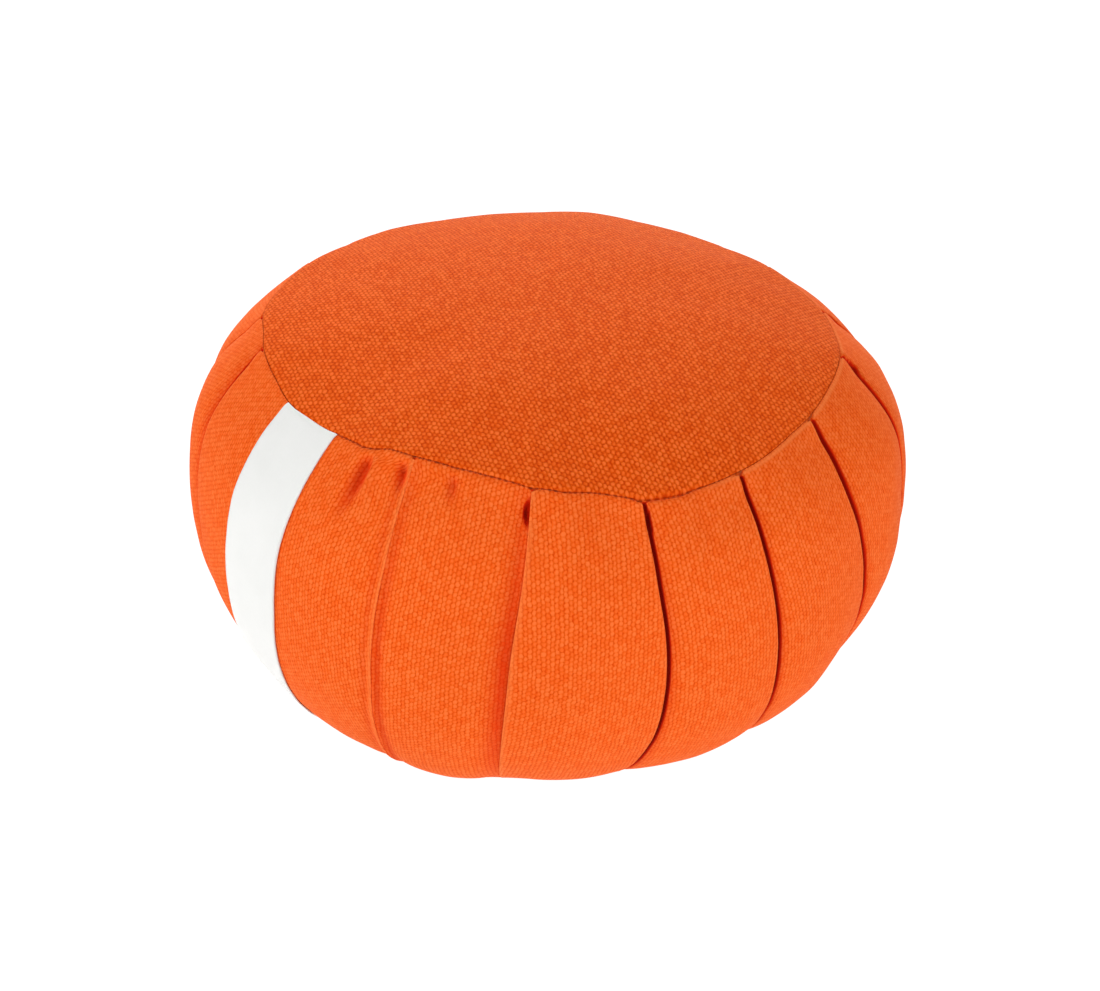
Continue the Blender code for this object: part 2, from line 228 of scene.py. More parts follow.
SEAM_PLACES = [
    SeamPlace(*row)
    for row in (
        (-36.0, 0.0006, 0.0006, 0.6, 0.3), (-25.0, -0.0006, 0.0005, 0.6, 0.3),
        (-14.0, 0.0006, 0.0006, 0.6, 0.3), (-3.0, -0.0006, 0.0004, 0.7, 0.25),
        (7.0, 0.0004, 0.0004, 0.8, 0.2), (20.0, -0.0004, 0.0003, 0.9, 0.15),
        (32.0, 0.0002, 0.0003, 0.9, 0.15), (38.0, -0.0008, 0.0003, 0.9, 0.15),
        (46.0, -0.0004, 0.0003, 0.9, 0.2), (54.0, -0.0003, 0.0005, 0.8, 0.3),
        (60.0, 0.0000, 0.0010, 0.5, 0.6), (63.5, 0.0000, 0.0020), (66.0, 0.0013, 0.0024),
        (73.8, 0.0016, 0.0024), (76.0, -0.0009, 0.0009), (79.0, -0.0026, 0.0008),
        (82.0, -0.0030, 0.0009), (85.0, -0.0012, 0.0012), (87.5, 0.0001, 0.0015),
        (90.5, 0.0000, 0.0011), (92.0, 0.0009, 0.0009), (93.3, 0.0019, 0.0006),
        (94.6, 0.0006, 0.0008), (96.0, -0.0003, 0.0010), (100.0, -0.0014, 0.0015),
        (105.0, -0.0013, 0.0011), (108.0, -0.0008, 0.0015), (111.0, -0.0010, 0.0010),
        (115.0, -0.0010, 0.0010), (117.0, -0.0006, 0.0006), (119.0, -0.0014, 0.0008),
        (122.5, -0.0020, 0.0004), (124.3, -0.0004, 0.0008), (126.0, 0.0010, 0.0014),
        (128.3, 0.0013, 0.0015), (130.0, 0.0001, 0.0014), (133.0, -0.0010, 0.0010),
        (136.0, -0.0014, 0.0008), (143.0, -0.0008, 0.0008), (151.0, 0.0005, 0.0008, 0.0, 0.6),
        (160.0, -0.0006, 0.0006, 0.0, 0.4), (172.0, 0.0006, 0.0006, 0.0, 0.35),
        (178.0, -0.0004, 0.0004, 0.1, 0.3), (185.0, 0.0006, 0.0004, 0.1, 0.3),
        (198.0, -0.0008, 0.0004, 0.2, 0.3), (211.0, 0.0007, 0.0010, 0.3, 0.3),
        (222.0, -0.0008, 0.0012), (233.0, 0.0006, 0.0016), (245.0, -0.0008, 0.0012),
        (257.0, 0.0006, 0.0016), (268.0, -0.0007, 0.0012), (279.0, 0.0007, 0.0016),
        (290.0, -0.0008, 0.0012), (301.0, 0.0006, 0.0016), (312.0, -0.0007, 0.0012),
    )
]


class Gather(NamedTuple):
    """A small tuck of the band under the top seam, which runs from one turn to another
    between two falls: its half width and its depth. A negative depth is a ridge."""

    start_turn: float
    end_turn: float
    start: float
    end: float
    width: float
    depth: float


# How far under its start a gather is fully drawn in, and over what share it fades out
GATHER_START = 0.025
GATHER_FADE = 0.7
GATHERS = [
    Gather(107.9, 107.2, 0.006, 0.090, 0.0040, 0.0030),
    Gather(118.6, 117.3, 0.008, 0.090, 0.0046, 0.0040),
    Gather(124.6, 121.2, 0.006, 0.210, 0.0032, -0.0018),
    Gather(125.6, 126.3, 0.010, 0.200, 0.0055, 0.0044),
    Gather(134.8, 134.9, 0.200, 0.800, 0.0030, 0.0005),
    Gather(222.6, 221.8, 0.006, 0.120, 0.0045, 0.0030),
    Gather(245.8, 247.0, 0.008, 0.090, 0.0042, 0.0024),
    Gather(267.2, 266.3, 0.006, 0.150, 0.0050, 0.0034),
    Gather(291.4, 290.8, 0.008, 0.080, 0.0040, 0.0026),
    Gather(312.0, 313.2, 0.006, 0.110, 0.0046, 0.0030),
]

# Lumps of the filling that show through the canvas: how far apart, and how high
LUMPS = ((0.030, 0.0007), (0.011, 0.00022))


def between(start, end, share):
    """The value at a share of the way from start to end."""
    return start + (end - start) * share


def smooth(share):
    """0 to 1 with a soft start and end."""
    share = np.clip(share, 0.0, 1.0)
    return share * share * (3 - 2 * share)


def curve(share, *points):
    """A curve from the first value to the last, which the two in the middle draw to them."""
    rest = 1 - share
    weights = (rest**3, 3 * rest**2 * share, 3 * rest * share**2, share**3)
    return sum(weight * point for weight, point in zip(weights, points))


def curve_through(share, before, start, end, after):
    """A smooth curve through start and end that heads on from before and to after."""
    return start + 0.5 * share * (
        end - before
        + share
        * (2 * before - 5 * start + 4 * end - after + share * (3 * (start - end) + after - before))
    )


def off_seams(fall):
    """0 at both seams, and 1 where the band is clear of them."""
    return smooth(np.minimum(fall, 1 - fall) / SEAM_EASE)


def down_band(values, fall):
    """A curve through the values at the top seam, shoulder, belly and bottom seam, which
    are at falls 0, 0.25, 0.5 and 1."""
    top, shoulder, belly, foot = values
    upper = curve_through(4 * fall, 2 * top - shoulder, top, shoulder, belly)
    middle = curve_through(4 * fall - 1, top, shoulder, belly, between(belly, foot, 0.5))
    lower = curve_through(2 * fall - 1, between(belly, shoulder, 2.0), belly, foot, foot)
    return np.where(fall < 0.25, upper, np.where(fall < 0.5, middle, lower))


def pleat_turn(index, fall):
    """A pleat's turn. Indexes past the last pleat go on round the cushion."""
    lap, row = divmod(index, len(PLEATS))
    return down_band(PLEATS[row].turns, fall) + 360 * lap


def round_band(turn, column):
    """One of the uneven amounts, blended smoothly round the cushion."""
    turns = np.array([row.turn for row in UNEVEN] + [UNEVEN[0].turn + 360])
    amounts = np.array([getattr(row, column) for row in UNEVEN])
    turn = (turn - turns[0]) % 360 + turns[0]
    index = np.searchsorted(turns, turn, side="right") - 1
    share = (turn - turns[index]) / (turns[index + 1] - turns[index])
    near = [amounts[(index + step) % len(amounts)] for step in (-1, 0, 1, 2)]
    return curve_through(share, *near)


def along_seam(turn, column):
    """How the top seam was sewn at these turns."""
    turns = [row.turn for row in SEAM_PLACES]
    return np.interp(turn, turns, [getattr(row, column) for row in SEAM_PLACES], period=360.0)


def hidden_stitches(turn):
    """How much farther from the seam the cloth counts where fewer of its stitches show."""
    return STITCH_DEPTH * (1 - along_seam(turn, "stitches"))


def profile(turn, fall):
    """Radius and height of the band before its pleats."""
    seam_radius = TOP_SEAM_RADIUS + round_band(turn, "seam_out") + along_seam(turn, "out")
    seam_height = TOP_SEAM_HEIGHT + round_band(turn, "seam_up")
    belly_radius = BELLY_RADIUS + round_band(turn, "belly_out")
    way = np.hypot(belly_radius - seam_radius, seam_height - BELLY_HEIGHT)
    slope = math.radians(SHOULDER_SLOPE)
    reach = SHOULDER_REACH * way
    upper = 2 * fall
    out_x = seam_radius + reach * math.cos(slope)
    out_z = seam_height - reach * math.sin(slope)
    upper_radius = curve(upper, seam_radius, out_x, belly_radius, belly_radius)
    upper_height = curve(
        upper, seam_height, out_z, BELLY_HEIGHT + BELLY_REACH_UP * way, BELLY_HEIGHT
    )
    foot_radius = BOTTOM_SEAM_RADIUS + round_band(turn, "foot_out")
    way = np.hypot(belly_radius - foot_radius, BELLY_HEIGHT - BOTTOM_SEAM_HEIGHT)
    slope = math.radians(FOOT_SLOPE)
    reach = FOOT_REACH * way
    lower = 2 * fall - 1
    out_x = foot_radius + reach * math.cos(slope)
    out_z = BOTTOM_SEAM_HEIGHT + reach * math.sin(slope)
    lower_radius = curve(lower, belly_radius, belly_radius, out_x, foot_radius)
    lower_height = curve(
        lower, BELLY_HEIGHT, BELLY_HEIGHT - BELLY_REACH_DOWN * way, out_z, BOTTOM_SEAM_HEIGHT
    )
    above = fall <= 0.5
    return np.where(above, upper_radius, lower_radius), np.where(above, upper_height, lower_height)


FACING_STEP = 0.004


def facing(turn, fall):
    """The way the band faces there, as its parts outward and upward."""
    above_radius, above_height = profile(turn, np.maximum(0.0, fall - FACING_STEP))
    below_radius, below_height = profile(turn, np.minimum(1.0, fall + FACING_STEP))
    out, up = above_height - below_height, below_radius - above_radius
    size = np.hypot(out, up)
    return out / size, up / size


def band_points(turn, fall, lift):
    """Points on the band's profile, lifted off it along the way it faces."""
    radius, height = profile(turn, fall)
    out, up = facing(turn, fall)
    radius = radius + out * lift
    angle = np.radians(turn)
    return np.stack(
        (radius * np.cos(angle), -radius * np.sin(angle), height + up * lift), axis=-1
    )


def band_falls():
    """The rows of the band: close together at both seams, even between them."""
    ends = [row / BAND_LENGTH for row in SEAM_ROWS]
    count = round((1 - 2 * ends[-1]) * BAND_LENGTH / ROW_HEIGHT)
    middle = list(np.linspace(ends[-1], 1 - ends[-1], count + 1)[1:-1])
    return np.array(ends + middle + [1 - end for end in reversed(ends)])[:, None]


def crease(distance, sink):
    """How deep a seam draws the cloth in at this distance from it."""
    return sink * np.maximum(0.0, 1 - distance / SEAM_WIDTH) ** SEAM_POWER


def gathered(turn, fall):
    """How deep the gathers draw the cloth in."""
    radius = profile(turn, fall)[0]
    amount = 0 * radius
    for gather in GATHERS:
        along = (fall - gather.start) / (gather.end - gather.start)
        middle = between(gather.start_turn, gather.end_turn, along)
        across = smooth(1 - np.abs(radius * np.radians(turn - middle)) / gather.width)
        down = smooth((fall - gather.start) / GATHER_START) * smooth((1 - along) / GATHER_FADE)
        amount = amount + gather.depth * across * down
    return amount


def panel_relief(index, turn, fall):
    """How far the panel past this pleat stands off the profile, apart from its folds."""
    start, end = pleat_turn(index, fall), pleat_turn(index + 1, fall)
    share = np.clip((turn - start) / (end - start), 0.0, 1.0)
    amount = PUFF * (4 * share * (1 - share) - PROFILE_SHARE) * off_seams(fall)
    amount = amount - crease(fall * BAND_LENGTH, along_seam(turn, "sink"))
    amount = amount - crease((1 - fall) * BAND_LENGTH, BOTTOM_SINK)
    return amount - gathered(turn, fall)


def fold_sizes(pleat, fall):
    """How open the fold is, how far it is from the seams, its lip, and the depth and width
    of its slit, at these falls."""
    opening = smooth(np.minimum(fall, 1 - fall) / FOLD_OPENING)
    ease = off_seams(fall)
    lip = pleat.lip * between(LIP_AT_SEAM, 1.0, ease)
    pocket = smooth(1 - np.abs(fall - POCKET_FALL) / POCKET_REACH)
    slit = pleat.slit * between(SLIT_AT_SEAM, 1.0, ease) + pleat.pocket * pocket
    slit_width = between(pleat.slit_width, pleat.pocket_width, pocket)
    return opening, ease, lip, slit, slit_width


def spread_at_seam(ways, reach, opening):
    """Columns of a fold lie one after another in the seam, and fold over as it opens."""
    last = len(ways) - 1
    return [between(reach * step / last, way, opening) for step, way in enumerate(ways)]


def shut(values, opening):
    """Values of a fold's columns, which come to nothing where it is sewn shut."""
    return [value * opening for value in values]


def top_side(pleat, fall):
    """The panel that lies on top, from the inner fold out round its edge to its face: how
    far in from the edge each column lies, how high, and its tone of painted light: painted
    shade on the tucked cloth and under the lip, and a painted highlight on the edge."""
    opening, ease, lip, slit = fold_sizes(pleat, fall)[:4]
    stand = pleat.stand * ease
    shade = np.clip(slit / FULL_SLIT, LEAST_SHADE, 1.0)
    light = EDGE_HIGHLIGHT * (1 - EDGE_HIGHLIGHT_FADE * shade)
    ways = [TUCK + 0 * lip]
    lifts = [-lip - slit / 2 - TUCK_SINK]
    tones = [-1.0]
    for share in BACK_SHARES:
        ways.append(TUCK * share + 0 * lip)
        lifts.append(-2 * lip - TUCK_SINK * share)
        tones.append(-1.0)
    for step in range(LIP_STEPS + 1):
        angle = math.pi * (1 - step / LIP_STEPS)
        ways.append(lip * (1 - math.sin(angle)))
        lifts.append(stand - lip * (1 - math.cos(angle)))
        tone = LIP_TONE_CHANGE * step / LIP_STEPS - 1.0
        tones.append(tone * shade if tone < 0 else np.minimum(tone, light))
    for share in FACE_SHARES:
        way = between(lip, EDGE_WIDTH, share)
        fade = 1 - smooth(share)
        hollow = pleat.trough * ease * np.exp(-(((way - TROUGH_PLACE) / TROUGH_WIDTH) ** 2)) * fade
        ways.append(way)
        lifts.append(stand * np.exp(-(((way - lip) / STAND_WIDTH) ** 2)) - hollow)
        tones.append(light * smooth(1 - way / EDGE_HIGHLIGHT_WIDTH) - DIP_SHADE * hollow / FULL_DIP)
    return spread_at_seam(ways, EDGE_WIDTH, opening), shut(lifts, opening), shut(tones, opening)


def under_side(pleat, fall):
    """The panel that dips under the edge, from the inner fold out and up to its face, with
    its tone of painted shade in its slit, its dip and the cloth tucked behind.
    """
    opening, ease, lip, slit, slit_width = fold_sizes(pleat, fall)
    shoulder, belly, foot = pleat.dips
    dip = down_band((DIP_AT_SEAM * shoulder, shoulder, belly, foot), fall)
    dip = np.maximum(0.0, dip) * opening
    ways = [TUCK * share + 0 * lip for share in (1.0,) + UNDER_SHARES]
    lifts = [-lip - slit / 2 - TUCK_SINK]
    lifts += [-dip - slit - TUCK_SINK * share for share in UNDER_SHARES]
    tones = [-1.0] * len(ways)
    for share in RISE_SHARES:
        way = pleat.rise * share
        deep = slit * np.maximum(0.0, 1 - (way / slit_width) ** SLIT_POWER)
        sunk = dip * (1 - share) ** DIP_POWER
        slope = pleat.slope * math.exp(-((way / STAND_WIDTH) ** 2))
        ways.append(-way + 0 * lip)
        lifts.append(slope * (pleat.stand * ease + sunk) - deep - sunk)
        tones.append((slope - 1) * np.minimum(1.0, deep / SHADE_DEPTH + DIP_SHADE * sunk / FULL_DIP))
    return spread_at_seam(ways, -pleat.rise, opening), shut(lifts, opening), shut(tones, opening)


def panel_columns(index, fall):
    """The turn, the fold's lift and its tone of painted light of every column of a panel, from
    the inner fold of the pleat before it up to, but not including, the inner fold of the next one."""
    ends = []
    for place, side in ((index, 1), (index + 1, -1)):
        pleat = PLEATS[place % len(PLEATS)]
        on_top = pleat.over == side
        ways, heights, tones = (top_side if on_top else under_side)(pleat, fall)
        edge = pleat_turn(place, fall)
        radius = profile(edge, fall)[0]
        direction = side if on_top else -side
        places = [edge + np.degrees(direction * way / radius) for way in ways]
        ends.append((places, heights, tones))
    (start_turns, start_lifts, start_tones), (end_turns, end_lifts, end_tones) = ends
    width = np.radians(end_turns[-1] - start_turns[-1]).max() * BELLY_RADIUS
    count = max(2, round(width / COLUMN_WIDTH))
    shares = [step / count for step in range(1, count)]
    plain = [0 * fall for share in shares]
    turns = start_turns + [between(start_turns[-1], end_turns[-1], share) for share in shares]
    columns = (
        turns + end_turns[:0:-1],
        start_lifts + plain + end_lifts[:0:-1],
        start_tones + plain + end_tones[:0:-1],
    )
    return [np.hstack(column) for column in columns]


def lumps(points, layers):
    """How high the filling's lumps stand at these points, from their spacings and heights."""
    heights = np.zeros(points.shape[:-1])
    for spacing, height in layers:
        for place in np.ndindex(heights.shape):
            heights[place] += height * noise.noise(Vector(points[place]) / spacing)
    return heights


def band_lumps(turn, fall):
    """How far the filling's lumps push the band out, which the seams hold in."""
    return lumps(band_points(turn, fall, 0.0), LUMPS) * off_seams(fall)


def canvas_top(points, share):
    """The top panel's outer face under points of the top seam, at a share of its radius."""
    uneven = points[..., 2] - TOP_SEAM_HEIGHT
    height = TOP_SEAM_HEIGHT + uneven * share**2 + CROWN * (1 - share**CROWN_POWER)
    return np.stack((points[..., 0] * share, points[..., 1] * share, height), axis=-1)


def canvas_bottom(points, share):
    """The bottom panel's outer face: flat on the floor, and turned up towards its seam."""
    turn_up = max(0.0, share - FLOOR_SHARE) / (1 - FLOOR_SHARE)
    height = points[..., 2] * turn_up**TURN_UP_POWER
    return np.stack((points[..., 0] * share, points[..., 1] * share, height), axis=-1)


def panel_grid(index, fall):
    """The points of a panel, from its first inner fold up to the next one."""
    turn, lift, tone = panel_columns(index, fall)
    lift = lift + panel_relief(index, turn, fall) + band_lumps(turn, fall)
    points = band_points(turn, fall, lift)
    # Painted shade in the gathers, and a painted highlight on the band's edge beside the top seam
    shade = gathered(turn, fall) / GATHER_SHADE_DEPTH
    away = np.abs(fall * BAND_LENGTH - RIM_PLACE)
    rim_highlight = along_seam(turn, "rim_highlight") * smooth(1 - away / RIM_WIDTH)
    return points, turn, np.clip(tone - shade, -1.0, 1.0) + rim_highlight


def ring_faces(rings, columns):
    """Quads between rings of points that follow one another."""
    row, column = np.mgrid[0 : rings - 1, 0:columns]
    this = row * columns + column
    then = row * columns + (column + 1) % columns
    return np.stack((this, then, then + columns, this + columns), axis=-1).reshape(-1, 4)


def fan_faces(pole, ring):
    """Triangles from the points of a ring to a pole."""
    return [(pole, then, this) for this, then in zip(ring, np.roll(ring, -1))]


def closing_fans(rings, columns):
    """Triangles that close the first and the last ring with the two poles after them."""
    count = rings * columns
    ring = np.arange(columns)
    return fan_faces(count, ring) + fan_faces(count + 1, (ring + count - columns)[::-1])


def corners_between(place, after):
    """Where the corners of the quads between rows lie, from the rows' places and the same
    places one column on."""
    return np.stack((place[:-1], after[:-1], after[1:], place[1:]), axis=2)


def put_in_scene(name, data):
    """A new object of a mesh, a light or a camera."""
    made = bpy.data.objects.new(name, data)
    bpy.context.scene.collection.objects.link(made)
    return made


def add_mesh(name, points, faces, flat, seam, tone):
    """A piece of a mesh, shaded smooth. Its UV maps hold, in metres, the cloth laid flat, and
    how far along the seam and how far from it each corner lies. Its points have a tone of
    painted light and shade."""
    data = bpy.data.meshes.new(name)
    data.from_pydata(np.asarray(points).tolist(), [], [list(map(int, face)) for face in faces])
    for layer_name, places in (("Cloth", flat), ("Seam", seam)):
        layer = data.uv_layers.new(name=layer_name)
        layer.data.foreach_set("uv", np.asarray(places, dtype=np.float32).ravel())
    data.attributes.new("Painted light", "FLOAT", "POINT").data.foreach_set("value", tone)
    data.shade_smooth()
    return put_in_scene(name, data)


def measured(line):
    """How far along a line of points each one lies."""
    return np.pad(np.cumsum(np.linalg.norm(np.diff(line, axis=0), axis=1)), (1, 0))


def panel_corners(grid, after):
    """Where a panel's face corners lie on the flat strip, measured along the cloth: across
    from the panel's middle, and down from the top seam."""
    panel = np.concatenate((grid, after[:, :1]), axis=1)
    steps = np.linalg.norm(np.diff(panel, axis=1), axis=2)
    across = np.pad(np.cumsum(steps, axis=1), ((0, 0), (1, 0)))
    middle = grid.shape[1] // 2
    across = across - across[:, middle : middle + 1]
    down = measured(panel[:, middle])[:, None] + 0 * across
    place = np.stack((across, -down), axis=-1)
    return corners_between(place[:, :-1], place[:, 1:])


def make_band():
    """The filled body: the pleated band, closed by a plain face under each round panel."""
    fall = band_falls()
    grids, turns, tones = zip(*(panel_grid(index, fall) for index in range(len(PLEATS))))
    band = np.concatenate(grids, axis=1)
    columns = band.shape[1]
    under = np.array((0.0, 0.0, CANVAS_THICKNESS + GAP))
    upper = np.stack([canvas_top(band[0], share) - under for share in TOP_RINGS])
    lower = np.stack([canvas_bottom(band[-1], share) + under for share in BOTTOM_RINGS])
    poles = np.array((canvas_top(band[0, 0], 0.0) - under, under))
    rings = np.concatenate((upper, band, lower))
    points = np.concatenate((rings.reshape(-1, 3), poles))
    fans = closing_fans(len(rings), columns)
    faces = list(ring_faces(len(rings), columns)) + fans
    top_part = np.concatenate((upper, band[:1]))[..., :2]
    bottom_part = np.concatenate((band[-1:], lower))[..., :2]
    panels = [panel_corners(grid, after) for grid, after in zip(grids, grids[1:] + grids[:1])]
    turn = np.concatenate(turns, axis=1)
    along = np.radians(turn) * TOP_SEAM_RADIUS
    away = np.minimum(fall, 1 - fall) * BAND_LENGTH + hidden_stitches(turn)
    place = np.stack((along, away), axis=-1)
    place = np.concatenate((place, place[:, :1] + (math.tau * TOP_SEAM_RADIUS, 0.0)), axis=1)
    sewn = corners_between(place[:, :-1], place[:, 1:]).reshape(-1, 2)
    flat = [corners_between(top_part, np.roll(top_part, -1, axis=1)).reshape(-1, 2)]
    flat.append(np.concatenate(panels, axis=1).reshape(-1, 2))
    flat.append(corners_between(bottom_part, np.roll(bottom_part, -1, axis=1)).reshape(-1, 2))
    flat.append(points[np.ravel(fans)][:, :2])
    hidden = [np.zeros_like(part) for part in (flat[0], flat[2], flat[3])]
    seam = np.concatenate((hidden[0], sewn, hidden[1], hidden[2]))
    tone = np.zeros(len(points))
    tone[len(upper) * columns : (len(upper) + len(band)) * columns] = np.hstack(tones).ravel()
    return add_mesh("canvas_band", points, faces, np.concatenate(flat), seam, tone)


def shader_node(tree, kind, **settings):
    """A node of a shader tree, with its settings."""
    node = tree.nodes.new("ShaderNode" + kind)
    for name, value in settings.items():
        setattr(node, name, value)
    return node


def plug(tree, socket, value):
    """Sets a node's input, or links it where the value is another node's output."""
    if isinstance(value, bpy.types.NodeSocket):
        tree.links.new(value, socket)
    else:
        socket.default_value = value


def feed(tree, node, **inputs):
    """Plugs in a node's inputs by name."""
    for name, value in inputs.items():
        plug(tree, node.inputs[name.replace("_", " ")], value)


def reckon(tree, operation, *values):
    """A math node of these values."""
    node = shader_node(tree, "Math", operation=operation)
    for socket, value in zip(node.inputs, values):
        plug(tree, socket, value)
    return node.outputs[0]


def keep_within(tree, value, least, most):
    """A value that goes no lower than the least and no higher than the most."""
    return reckon(tree, "MINIMUM", reckon(tree, "MAXIMUM", value, least), most)


def parts_of(tree, place):
    """The parts of a place along the first, second and third way."""
    node = shader_node(tree, "SeparateXYZ")
    feed(tree, node, Vector=place)
    return node.outputs


def soft_noise(tree, place, scale, **settings):
    """Smooth noise over the flat cloth, a half on the whole."""
    node = shader_node(tree, "TexNoise", noise_dimensions="2D")
    feed(tree, node, Vector=place, Scale=scale, **settings)
    return node


def mix_of(tree, amount, first, second, kind="RGBA"):
    """All the first colour or place where the amount is 0, and all the second where it is 1."""
    node = shader_node(tree, "Mix", data_type=kind)
    sockets = [socket for socket in node.inputs if socket.type == kind and socket.name in "AB"]
    for socket, value in zip((node.inputs["Factor"], *sockets), (amount, first, second)):
        plug(tree, socket, value)
    return next(socket for socket in node.outputs if socket.type == kind)


def start_effect(name, takes, gives):
    """A shader group: what it takes, each with its usual value or None for a place, and the
    values it gives."""
    tree = bpy.data.node_groups.new(name, "ShaderNodeTree")
    for label, value in takes.items():
        kind = "NodeSocketVector" if value is None else "NodeSocketFloat"
        socket = tree.interface.new_socket(name=label, in_out="INPUT", socket_type=kind)
        if value is not None:
            socket.default_value = value
    for label in gives:
        tree.interface.new_socket(name=label, in_out="OUTPUT", socket_type="NodeSocketFloat")
    return tree, tree.nodes.new("NodeGroupInput").outputs, tree.nodes.new("NodeGroupOutput")


# How fine the wander, the slubs, the fibres and the pits of the canvas's yarns are
WANDER_SCALE = 220.0
SLUB_SCALE = (420.0, 60.0, 1.0)
FIBRE_SCALE = 1400.0
PIT_SCALE = 800.0

# How a knuckle of the weave swells and rounds, and the least height and painted highlight it has
KNUCKLE_SWELL = 0.35
KNUCKLE_POWER = 0.7
LEAST_HEIGHT = 0.6
HIGHLIGHT_GAIN = 1.5
LEAST_HIGHLIGHT = 0.5

# How deep a pit's painted shade is, and the parts that slubs, knuckles and fibres have in a yarn's
# shade
PIT_GAIN = 2.4
PIT_LOSS = 0.6
LEAST_PIT = 0.3
SLUB_SHADE = 0.2
KNUCKLE_SHADE = 0.5
FIBRE_SHADE = 0.3


def make_weave_group():
    """Heavy plain-woven canvas: rows of round knuckles, each row half a step on from the
    last, with pits between them. Yarns wander, swell and differ a little in shade. It gives
    the knuckles' height, where the pits' painted shade lies, the yarns' shade, and a
    painted highlight on the knuckles' tops."""
    takes = {
        "Flat place": None,
        "Across pitch": 0.00204,
        "Down pitch": 0.00122,
        "Knuckle width": 0.00120,
        "Knuckle length": 0.00145,
        "Fullness": 1.6,
        "Twist": 0.12,
        "Wander": 0.8,
    }
    gives = ("Height", "Knuckle", "Shade", "Crest")
    tree, given, out = start_effect("Canvas weave", takes, gives)
    flat_place = given["Flat place"]
    wander = soft_noise(tree, flat_place, WANDER_SCALE, Detail=2.0)
    ways, shifts = parts_of(tree, flat_place), parts_of(tree, wander.outputs["Color"])
    places = []
    for way, pitch, shift in zip(ways, (given["Across pitch"], given["Down pitch"]), shifts):
        way = reckon(tree, "DIVIDE", way, pitch)
        shift = reckon(tree, "MULTIPLY", reckon(tree, "SUBTRACT", shift, 0.5), given["Wander"])
        places.append(reckon(tree, "ADD", way, shift))
    domes, cells = [], []
    for start in (0.0, 1.0):
        reach = []
        cell = shader_node(tree, "CombineXYZ")
        sizes = (("Across pitch", "Knuckle width"), ("Down pitch", "Knuckle length"))
        for axis, (place, (pitch, size)) in enumerate(zip(places, sizes)):
            half = reckon(tree, "MULTIPLY", reckon(tree, "ADD", place, start), 0.5)
            whole = reckon(tree, "ROUND", half)
            plug(tree, cell.inputs[axis], whole)
            away = reckon(tree, "MULTIPLY", reckon(tree, "SUBTRACT", half, whole), 2.0)
            away = reckon(tree, "MULTIPLY", away, given[pitch])
            reach.append(reckon(tree, "DIVIDE", away, given[size]))
        feed(tree, cell, Z=start)
        reach[0] = reckon(tree, "MULTIPLY_ADD", reach[1], given["Twist"], reach[0])
        squares = [reckon(tree, "MULTIPLY", side, side) for side in reach]
        domes.append(reckon(tree, "SUBTRACT", 1.0, reckon(tree, "ADD", *squares)))
        cells.append(cell.outputs[0])
    second = reckon(tree, "GREATER_THAN", domes[1], domes[0])
    chance = shader_node(tree, "TexWhiteNoise", noise_dimensions="3D")
    feed(tree, chance, Vector=mix_of(tree, second, *cells, kind="VECTOR"))
    chance = chance.outputs["Value"]
    fibre = soft_noise(tree, flat_place, FIBRE_SCALE, Detail=2.0, Roughness=0.7).outputs["Fac"]
    stretch = shader_node(tree, "Mapping")
    feed(tree, stretch, Vector=flat_place, Scale=SLUB_SCALE)
    slub = soft_noise(tree, stretch.outputs[0], 1.0, Detail=1.0).outputs["Fac"]
    pit_noise = soft_noise(tree, flat_place, PIT_SCALE, Detail=1.0).outputs["Fac"]
    swell = reckon(tree, "MULTIPLY_ADD", chance, KNUCKLE_SWELL, -KNUCKLE_SWELL / 2)
    swell = reckon(tree, "ADD", swell, reckon(tree, "SUBTRACT", fibre, 0.5))
    dome = reckon(tree, "ADD", reckon(tree, "MAXIMUM", *domes), swell)
    painted_highlight = reckon(tree, "MULTIPLY_ADD", dome, HIGHLIGHT_GAIN, 1 - HIGHLIGHT_GAIN)
    bright = reckon(tree, "MULTIPLY_ADD", chance, 1 - LEAST_HIGHLIGHT, LEAST_HIGHLIGHT)
    painted_highlight = reckon(tree, "MULTIPLY", reckon(tree, "MAXIMUM", painted_highlight, 0.0), bright)
    dome = reckon(tree, "MULTIPLY", reckon(tree, "MAXIMUM", dome, 0.0), given["Fullness"])
    knuckle = reckon(tree, "MINIMUM", reckon(tree, "POWER", dome, KNUCKLE_POWER), 1.0)
    lift = reckon(tree, "MULTIPLY_ADD", chance, 1 - LEAST_HEIGHT, LEAST_HEIGHT)
    pit = reckon(tree, "MULTIPLY_ADD", pit_noise, PIT_GAIN, -PIT_LOSS)
    pit = keep_within(tree, pit, LEAST_PIT, 1.0)
    pit = reckon(tree, "MULTIPLY", pit, reckon(tree, "SUBTRACT", 1.0, knuckle))
    shade = reckon(tree, "MULTIPLY", slub, SLUB_SHADE)
    shade = reckon(tree, "MULTIPLY_ADD", chance, KNUCKLE_SHADE, shade)
    shade = reckon(tree, "MULTIPLY_ADD", fibre, FIBRE_SHADE, shade)
    feed(tree, out, Height=reckon(tree, "MULTIPLY", knuckle, lift))
    feed(tree, out, Knuckle=reckon(tree, "SUBTRACT", 1.0, pit))
    feed(tree, out, Shade=shade, Crest=reckon(tree, "MINIMUM", painted_highlight, 1.0))
    return tree


WEAVE = make_weave_group()

# How a seam's dashes wander and shift along it, how dark they and the gaps between them
# are, and how fast the dark fades away from the seam
STITCH_WANDER = 90.0
STITCH_SHIFT = 2.0
DASH_SWING = 0.7
DASH_MIDDLE = 0.45
LEAST_DASH = 0.2
MOST_DASH = 0.9
SEAM_FADE = 2.0


